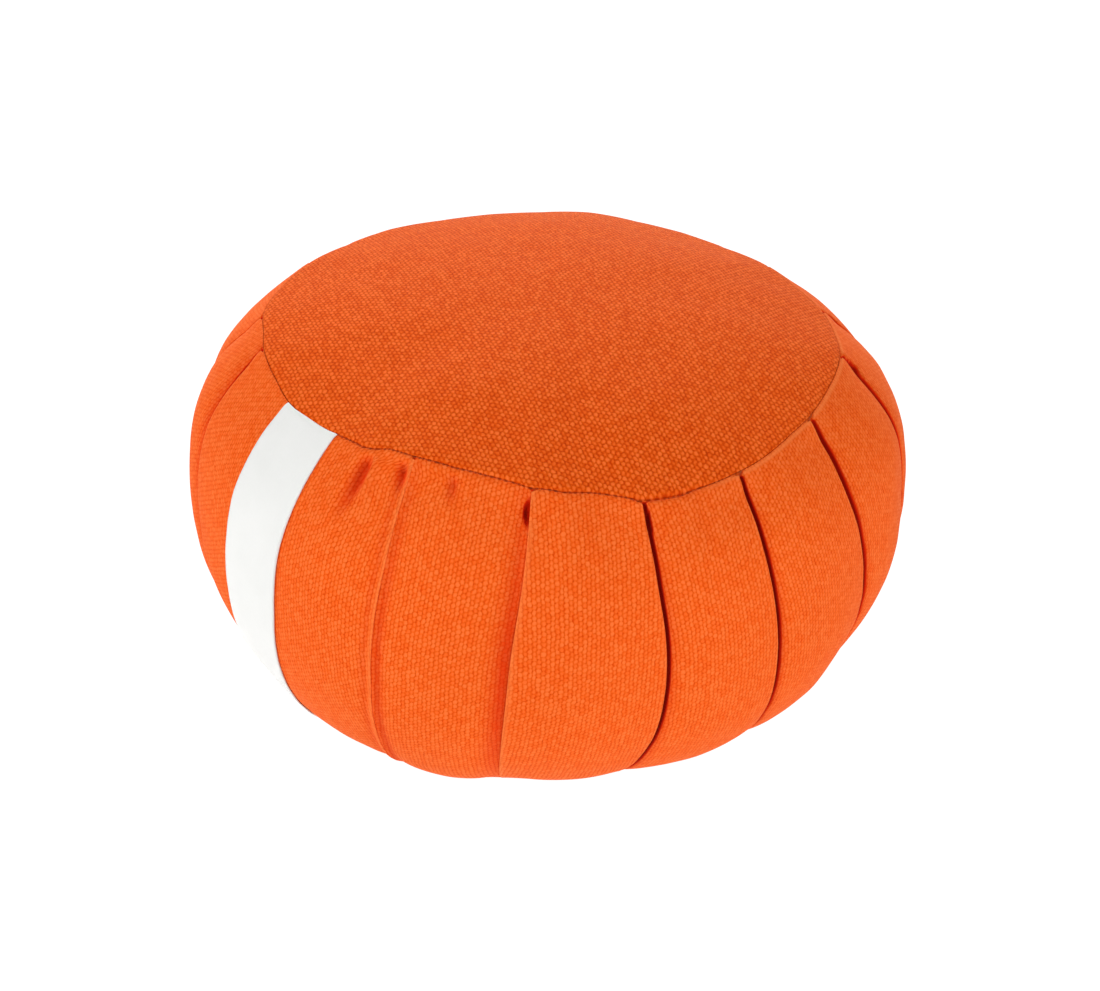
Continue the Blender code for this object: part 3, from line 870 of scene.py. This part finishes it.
def make_thread_group():
    """The thread and the shadow in a seam: dark dashes of a stitch's length in the crease."""
    takes = {"Seam place": None, "Stitch": 0.0029, "Reach": 0.0007}
    tree, given, out = start_effect("Seam thread", takes, ("Thread",))
    along, away = parts_of(tree, given["Seam place"])[:2]
    uneven = shader_node(tree, "TexNoise", noise_dimensions="1D")
    feed(tree, uneven, W=along, Scale=STITCH_WANDER, Detail=1.0)
    turns = reckon(tree, "DIVIDE", along, given["Stitch"])
    turns = reckon(tree, "MULTIPLY_ADD", uneven.outputs[0], STITCH_SHIFT, turns)
    wave = reckon(tree, "SINE", reckon(tree, "MULTIPLY", turns, math.tau))
    dash = reckon(tree, "MULTIPLY_ADD", wave, DASH_SWING, DASH_MIDDLE)
    dash = keep_within(tree, dash, LEAST_DASH, MOST_DASH)
    near = reckon(tree, "SUBTRACT", 1.0, reckon(tree, "DIVIDE", away, given["Reach"]))
    near = keep_within(tree, reckon(tree, "MULTIPLY", near, SEAM_FADE), 0.0, 1.0)
    feed(tree, out, Thread=reckon(tree, "MULTIPLY", near, dash))
    return tree


THREAD = make_thread_group()

# The thread with the painted shadow of its crease, the painted shade of a fold, the deeper
# painted shade in it, and the painted highlight on its edge
THREAD_AND_SHADOW_COLOUR = (0.52, 0.045, 0.002, 1.0)
SHADE_COLOUR = (0.72, 0.016, 0.0, 1.0)
DEEP_SHADE_COLOUR = (0.34, 0.005, 0.0, 1.0)
DEEP_SHADE_TONE = 0.5
EDGE_HIGHLIGHT_COLOUR = (1.0, 0.23, 0.055, 1.0)
EDGE_HIGHLIGHT_STRENGTH = 0.8


def start_material(name):
    """A new material, with its tree of nodes and its shader."""
    material = bpy.data.materials.new(name)
    material.use_nodes = True
    return material, material.node_tree, material.node_tree.nodes["Principled BSDF"]


class Weave(NamedTuple):
    """How a piece of the canvas was woven and cut: the turn of its warp, the step from knuckle
    row to knuckle row, a knuckle's half width and half length, its slant, how full its yarns
    are, the colours of its pits (partly the gaps between yarns, partly painted shade), its
    yarns and the painted highlight on its knuckles, and the relief."""

    turn: float
    down_pitch: float
    knuckle_width: float
    knuckle_length: float
    twist: float
    fullness: float
    pit: tuple
    yarn_dark: tuple
    yarn_light: tuple
    painted_highlight: tuple
    relief: float


def make_canvas(name, cut):
    """Orange canvas, woven and cut like this, with painted shade and highlights from its points'
    tone.
    """
    material, tree, shader = start_material(name)
    flat = shader_node(tree, "UVMap", uv_map="Cloth")
    turned = shader_node(tree, "Mapping")
    feed(tree, turned, Vector=flat.outputs[0], Rotation=(0.0, 0.0, math.radians(cut.turn)))
    weave = shader_node(tree, "Group", node_tree=WEAVE)
    feed(tree, weave, Flat_place=turned.outputs[0], Down_pitch=cut.down_pitch, Fullness=cut.fullness)
    feed(tree, weave, Knuckle_width=cut.knuckle_width, Knuckle_length=cut.knuckle_length)
    feed(tree, weave, Twist=cut.twist)
    cloth = mix_of(tree, weave.outputs["Shade"], cut.yarn_dark, cut.yarn_light)
    # The pits between the knuckles: partly the gaps between the yarns, partly painted shade
    cloth = mix_of(tree, weave.outputs["Knuckle"], cut.pit, cloth)
    # A painted highlight on the knuckles' tops
    cloth = mix_of(tree, weave.outputs["Crest"], cloth, cut.painted_highlight)
    seam_place = shader_node(tree, "UVMap", uv_map="Seam")
    thread = shader_node(tree, "Group", node_tree=THREAD)
    feed(tree, thread, Seam_place=seam_place.outputs[0])
    # The points' tone of painted light: above 0 a painted highlight, which also hides the thread,
    # below 0 painted shade
    tone = shader_node(tree, "Attribute", attribute_name="Painted light").outputs["Fac"]
    bare = reckon(tree, "SUBTRACT", 1.0, reckon(tree, "MAXIMUM", tone, 0.0))
    sewn = reckon(tree, "MULTIPLY", thread.outputs["Thread"], bare)
    # The thread with the painted shadow of its crease
    cloth = mix_of(tree, sewn, cloth, THREAD_AND_SHADOW_COLOUR)
    # Painted shade in the folds, and deeper painted shade in their slits, pockets and tucks
    for start, colour in ((0.0, SHADE_COLOUR), (DEEP_SHADE_TONE, DEEP_SHADE_COLOUR)):
        dark = reckon(tree, "MULTIPLY_ADD", tone, -1 / DEEP_SHADE_TONE, -start / DEEP_SHADE_TONE)
        cloth = mix_of(tree, dark, cloth, colour)
    # A painted highlight on the folds' edges and on the band's edge beside the top seam
    cloth = mix_of(tree, reckon(tree, "MULTIPLY", tone, EDGE_HIGHLIGHT_STRENGTH), cloth, EDGE_HIGHLIGHT_COLOUR)
    bump = shader_node(tree, "Bump")
    feed(tree, bump, Height=weave.outputs["Height"], Distance=cut.relief, Strength=1.0)
    feed(tree, shader, Base_Color=cloth, Normal=bump.outputs[0], Roughness=0.9)
    feed(tree, shader, Sheen_Weight=0.15, Sheen_Roughness=0.35, Sheen_Tint=(1.0, 0.5, 0.25, 1.0))
    feed(tree, shader, Specular_IOR_Level=0.05)
    return material


band = make_band()
band_weave = Weave(
    turn=0.0,
    down_pitch=0.00122,
    knuckle_width=0.00106,
    knuckle_length=0.00142,
    twist=0.12,
    fullness=2.2,
    pit=(0.80, 0.060, 0.001, 1.0),
    yarn_dark=(0.93, 0.107, 0.006, 1.0),
    yarn_light=(1.0, 0.150, 0.016, 1.0),
    painted_highlight=(1.0, 0.185, 0.038, 1.0),
    relief=0.0002,
)
band.data.materials.append(make_canvas("Orange canvas, band", band_weave))
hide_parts("side_band")
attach(band, "root")

# ----------------------------------------
# The top panel
# A round piece of the same canvas, cut with its weave a little off the cushion's front,
# and sewn to the pleated band all round. Its colours are painted darker than the band's,
# as painted shade. The filling pushes it up to a low crown.
# ----------------------------------------
ROUND_COLUMNS = 288
ROUND_SHARES = (
    list(np.linspace(0.02, 0.94, 47)) + [0.955, 0.965, 0.973, 0.98, 0.986, 0.991, 0.995, 0.998, 1.0]
)
SHEET_THICKNESS = 0.0014
SEAM_ALLOWANCE = 0.003
TOP_LUMPS = ((0.055, 0.0010), (0.020, 0.0004))
TOP_LUMPS_EASE = 0.12


def make_round_panel(name, fall, face, layers):
    """A round sheet: its outer face draws in to the crease of the seam, its edge turns in
    as the seam allowance, and its inner face follows the outer one."""
    turn = np.arange(ROUND_COLUMNS) * 360.0 / ROUND_COLUMNS
    seam_fall = np.full_like(turn, fall)
    ring = band_points(turn, seam_fall, 0.0)
    out, up = facing(turn, seam_fall)
    angle = np.radians(turn)
    outward = np.stack((out * np.cos(angle), -out * np.sin(angle), up), axis=-1)
    inward = np.array((0.0, 0.0, 1.0 if fall else -1.0))
    deepest = BOTTOM_SINK if fall else along_seam(turn, "sink")[:, None]
    outer = []
    for share in ROUND_SHARES:
        row = face(ring, share) - outward * crease((1 - share) * TOP_SEAM_RADIUS, deepest)
        for layer in layers:
            row[:, 2] += smooth((1 - share) / TOP_LUMPS_EASE) * lumps(row, (layer,))
        outer.append(row)
    outer = np.stack(outer)
    edge = outer[-1] - outward * SEAM_ALLOWANCE
    edge[:, :2] *= 1 - GAP / TOP_SEAM_RADIUS
    outer[-1, :, :2] *= 1 - GAP / TOP_SEAM_RADIUS
    inner = outer[:-1] + inward * SHEET_THICKNESS
    rows = np.concatenate((outer, edge[None], inner[::-1]))
    middle = np.array((0.0, 0.0, outer[0, :, 2].mean()))
    poles = np.array((middle, middle + inward * SHEET_THICKNESS))
    points = np.concatenate((rows.reshape(-1, 3), poles))
    fans = closing_fans(len(rows), ROUND_COLUMNS)
    faces = list(ring_faces(len(rows), ROUND_COLUMNS)) + fans
    if fall:
        faces = [tuple(face)[::-1] for face in faces]
    flat = points[np.concatenate([np.ravel(face) for face in faces])][:, :2]
    turn = np.append(turn, 360.0)
    away = (1 - np.array(ROUND_SHARES)) * TOP_SEAM_RADIUS
    along, away = np.meshgrid(np.radians(turn) * TOP_SEAM_RADIUS, np.append(away, 0 * away))
    place = np.stack((along, away + hidden_stitches(turn)), axis=-1)
    seam = corners_between(place[:, :-1], place[:, 1:])
    if fall:
        seam = seam[:, :, ::-1]
    seam = np.concatenate((seam.reshape(-1, 2), np.full((3 * len(fans), 2), TOP_SEAM_RADIUS)))
    return add_mesh(name, points, faces, flat, seam, np.zeros(len(points)))


top = make_round_panel("canvas_top", 0.0, canvas_top, TOP_LUMPS)
# Darker colours than the band's canvas: painted shade, as the top takes less light
top_weave = Weave(
    turn=-20.0,
    down_pitch=0.00145,
    knuckle_width=0.00108,
    knuckle_length=0.00145,
    twist=-0.08,
    fullness=1.6,
    pit=(0.62, 0.042, 0.0, 1.0),
    yarn_dark=(0.80, 0.084, 0.001, 1.0),
    yarn_light=(0.89, 0.122, 0.006, 1.0),
    painted_highlight=(0.97, 0.175, 0.028, 1.0),
    relief=0.0002,
)
top.data.materials.append(make_canvas("Orange canvas, top", top_weave))
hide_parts("top_panel")
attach(top, "root")

# ----------------------------------------
# The bottom panel
# The round piece of canvas that the cushion stands on, sewn to the band's lower edge. It
# lies flat on the floor and turns up only at its seam.
# ----------------------------------------
base = make_round_panel("canvas_base", 1.0, canvas_bottom, ())
base_weave = Weave(
    turn=8.0,
    down_pitch=0.00135,
    knuckle_width=0.00108,
    knuckle_length=0.00145,
    twist=0.12,
    fullness=2.0,
    pit=(0.66, 0.040, 0.001, 1.0),
    yarn_dark=(0.88, 0.095, 0.005, 1.0),
    yarn_light=(0.97, 0.145, 0.014, 1.0),
    painted_highlight=(1.0, 0.19, 0.036, 1.0),
    relief=0.0003,
)
base.data.materials.append(make_canvas("Orange canvas, base", base_weave))
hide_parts("bottom_panel")
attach(base, "root")

# ----------------------------------------
# The tape
# A smooth white woven tape, laid down the widest panel and caught in the top and bottom
# seams. It is thinner than the canvas and follows the panel's puff.
# ----------------------------------------
TAPE_TURNS = (143.6, 142.5, 142.8, 146.1)
TAPE_WIDTHS = (0.038, 0.043, 0.044, 0.038)
TAPE_THICKNESS = 0.0006
TAPE_COLUMNS = 24
TAPE_PANEL = 7


def make_tape():
    """A thin strip over the puff of its panel, with a face outside and one against it."""
    fall = band_falls()
    share = np.linspace(0.0, 1.0, TAPE_COLUMNS + 1)[None, :]
    middle = down_band(TAPE_TURNS, fall)
    half_width = np.degrees(down_band(TAPE_WIDTHS, fall) / profile(middle, fall)[0]) / 2
    turn = middle + half_width * (2 * share - 1)
    lift = panel_relief(TAPE_PANEL, turn, fall) + band_lumps(turn, fall)
    under = band_points(turn, fall, lift + GAP)
    over = band_points(turn, fall, lift + GAP + TAPE_THICKNESS)
    loop = np.concatenate((over, under[:, ::-1]), axis=1)
    rows, columns = loop.shape[:2]
    last = (rows - 1) * columns
    ends = [tuple(range(columns))[::-1], tuple(range(last, last + columns))]
    faces = list(ring_faces(rows, columns)) + ends
    across = measured(over[rows // 2])
    across = np.concatenate((across, across[::-1]))[None, :] + np.zeros((rows, 1))
    down = measured(over[:, TAPE_COLUMNS // 2])[:, None] + 0 * across
    places = np.stack((across, -down), axis=-1).reshape(-1, 2)
    flat = places[np.concatenate([np.ravel(face) for face in faces])]
    return add_mesh("white_tape", loop.reshape(-1, 3), faces, flat, flat, np.zeros(loop.size // 3))


# How fine the tape's unevenness and mottle are, how far its ribs shift, the mottle's part
# in its shade, its darkest and lightest white, and the relief of its ribs
TAPE_UNEVEN_SCALE = 700.0
TAPE_MOTTLE_SCALE = 45.0
RIB_SHIFT = 1.5
MOTTLE_SHADE = 0.7
TAPE_DARK = (0.84, 0.845, 0.82, 1.0)
TAPE_LIGHT = (0.92, 0.92, 0.90, 1.0)
TAPE_RELIEF = 0.00005


def make_tape_group():
    """Satin tape: fine ribs across it, a little uneven, and a soft mottle of its shade."""
    takes = {"Flat place": None, "Rib": 0.0005}
    tree, given, out = start_effect("Satin tape", takes, ("Height", "Shade"))
    uneven = soft_noise(tree, given["Flat place"], TAPE_UNEVEN_SCALE, Detail=3.0).outputs[0]
    mottle = soft_noise(tree, given["Flat place"], TAPE_MOTTLE_SCALE, Detail=2.0).outputs[0]
    ribs = reckon(tree, "DIVIDE", parts_of(tree, given["Flat place"])[1], given["Rib"])
    ribs = reckon(tree, "MULTIPLY_ADD", uneven, RIB_SHIFT, ribs)
    wave = reckon(tree, "SINE", reckon(tree, "MULTIPLY", ribs, math.tau))
    shade = reckon(tree, "MULTIPLY", mottle, MOTTLE_SHADE)
    shade = reckon(tree, "MULTIPLY_ADD", uneven, 1 - MOTTLE_SHADE, shade)
    feed(tree, out, Height=reckon(tree, "MULTIPLY_ADD", wave, 0.5, 0.5), Shade=shade)
    return tree


tape = make_tape()
tape_material, tape_tree, tape_shader = start_material("White tape")
tape_place = shader_node(tape_tree, "UVMap", uv_map="Cloth")
satin = shader_node(tape_tree, "Group", node_tree=make_tape_group())
feed(tape_tree, satin, Flat_place=tape_place.outputs[0])
white = mix_of(tape_tree, satin.outputs["Shade"], TAPE_DARK, TAPE_LIGHT)
ribbed = shader_node(tape_tree, "Bump")
feed(tape_tree, ribbed, Height=satin.outputs["Height"], Distance=TAPE_RELIEF, Strength=1.0)
feed(tape_tree, tape_shader, Base_Color=white, Normal=ribbed.outputs[0])
feed(tape_tree, tape_shader, Roughness=0.55, Specular_IOR_Level=0.3)
tape.data.materials.append(tape_material)
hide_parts("side_tape")
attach(tape, "root")

# ----------------------------------------
# Studio
# A plain pale floor, soft square lights all round and above, and a camera that stands in
# front of the cushion and looks down on it.
# ----------------------------------------
CAMERA_DISTANCE = 1.25
CAMERA_ELEVATION = math.radians(32.9)
CAMERA_AIM = Vector((0.0005, 0.0, 0.082))
IMAGE_WIDTH = 1100
FOCAL_PIXELS = 2438
SENSOR_WIDTH = 36.0

FLOOR_SIZE = 6.0
FLOOR_COLOUR = (0.15, 0.15, 0.15, 1.0)
FLOOR_GLOW = 0.98
WHITE = (1.0, 1.0, 1.0, 1.0)

LIGHTS_AIM = Vector((0.0, 0.0, 0.1))


class Softbox(NamedTuple):
    """A square area light that shines on the cushion."""

    place: tuple
    size: float
    power: float


SOFTBOXES = [
    Softbox((-2.0, 0.0, 1.2), 0.9, 20.6),
    Softbox((-1.5, -1.6, 1.0), 0.9, 14.3),
    Softbox((0.0, -2.2, 1.3), 0.9, 3.7),
    Softbox((1.5, -1.6, 1.0), 0.9, 20.9),
    Softbox((2.0, 0.0, 1.2), 0.9, 6.5),
    Softbox((0.0, 2.2, 0.9), 0.9, 42.4),
    Softbox((0.0, 0.0, 2.2), 1.2, 10.5),
]

scene = bpy.context.scene
scene.view_settings.view_transform = "Standard"

half = FLOOR_SIZE / 2
floor_corners = [(-half, -half, 0.0), (half, -half, 0.0), (half, half, 0.0), (-half, half, 0.0)]
floor_data = bpy.data.meshes.new("floor")
floor_data.from_pydata(floor_corners, [], [(0, 1, 2, 3)])
floor = put_in_scene("floor", floor_data)
floor_material, floor_tree, floor_shader = start_material("Pale floor")
feed(floor_tree, floor_shader, Base_Color=FLOOR_COLOUR, Roughness=1.0, Specular_IOR_Level=0.0)
feed(floor_tree, floor_shader, Emission_Color=WHITE, Emission_Strength=FLOOR_GLOW)
floor_data.materials.append(floor_material)

world = bpy.data.worlds.new("studio")
scene.world = world
world.use_nodes = True
background = world.node_tree.nodes["Background"]
ray = shader_node(world.node_tree, "LightPath")
feed(world.node_tree, background, Color=WHITE, Strength=ray.outputs["Is Camera Ray"])

for softbox in SOFTBOXES:
    light_data = bpy.data.lights.new("softbox", "AREA")
    light_data.energy = softbox.power
    light_data.size = softbox.size
    light = put_in_scene("softbox", light_data)
    light.location = softbox.place
    light_way = LIGHTS_AIM - Vector(softbox.place)
    light.rotation_euler = light_way.to_track_quat("-Z", "Y").to_euler()

camera_data = bpy.data.cameras.new("camera")
camera_data.sensor_width = SENSOR_WIDTH
camera_data.lens = SENSOR_WIDTH * FOCAL_PIXELS / IMAGE_WIDTH
camera = put_in_scene("camera", camera_data)
way_back = Vector((0.0, -math.cos(CAMERA_ELEVATION), math.sin(CAMERA_ELEVATION)))
camera.location = CAMERA_AIM + CAMERA_DISTANCE * way_back
camera.rotation_euler = (math.pi / 2 - CAMERA_ELEVATION, 0.0, 0.0)
bpy.context.scene.camera = camera
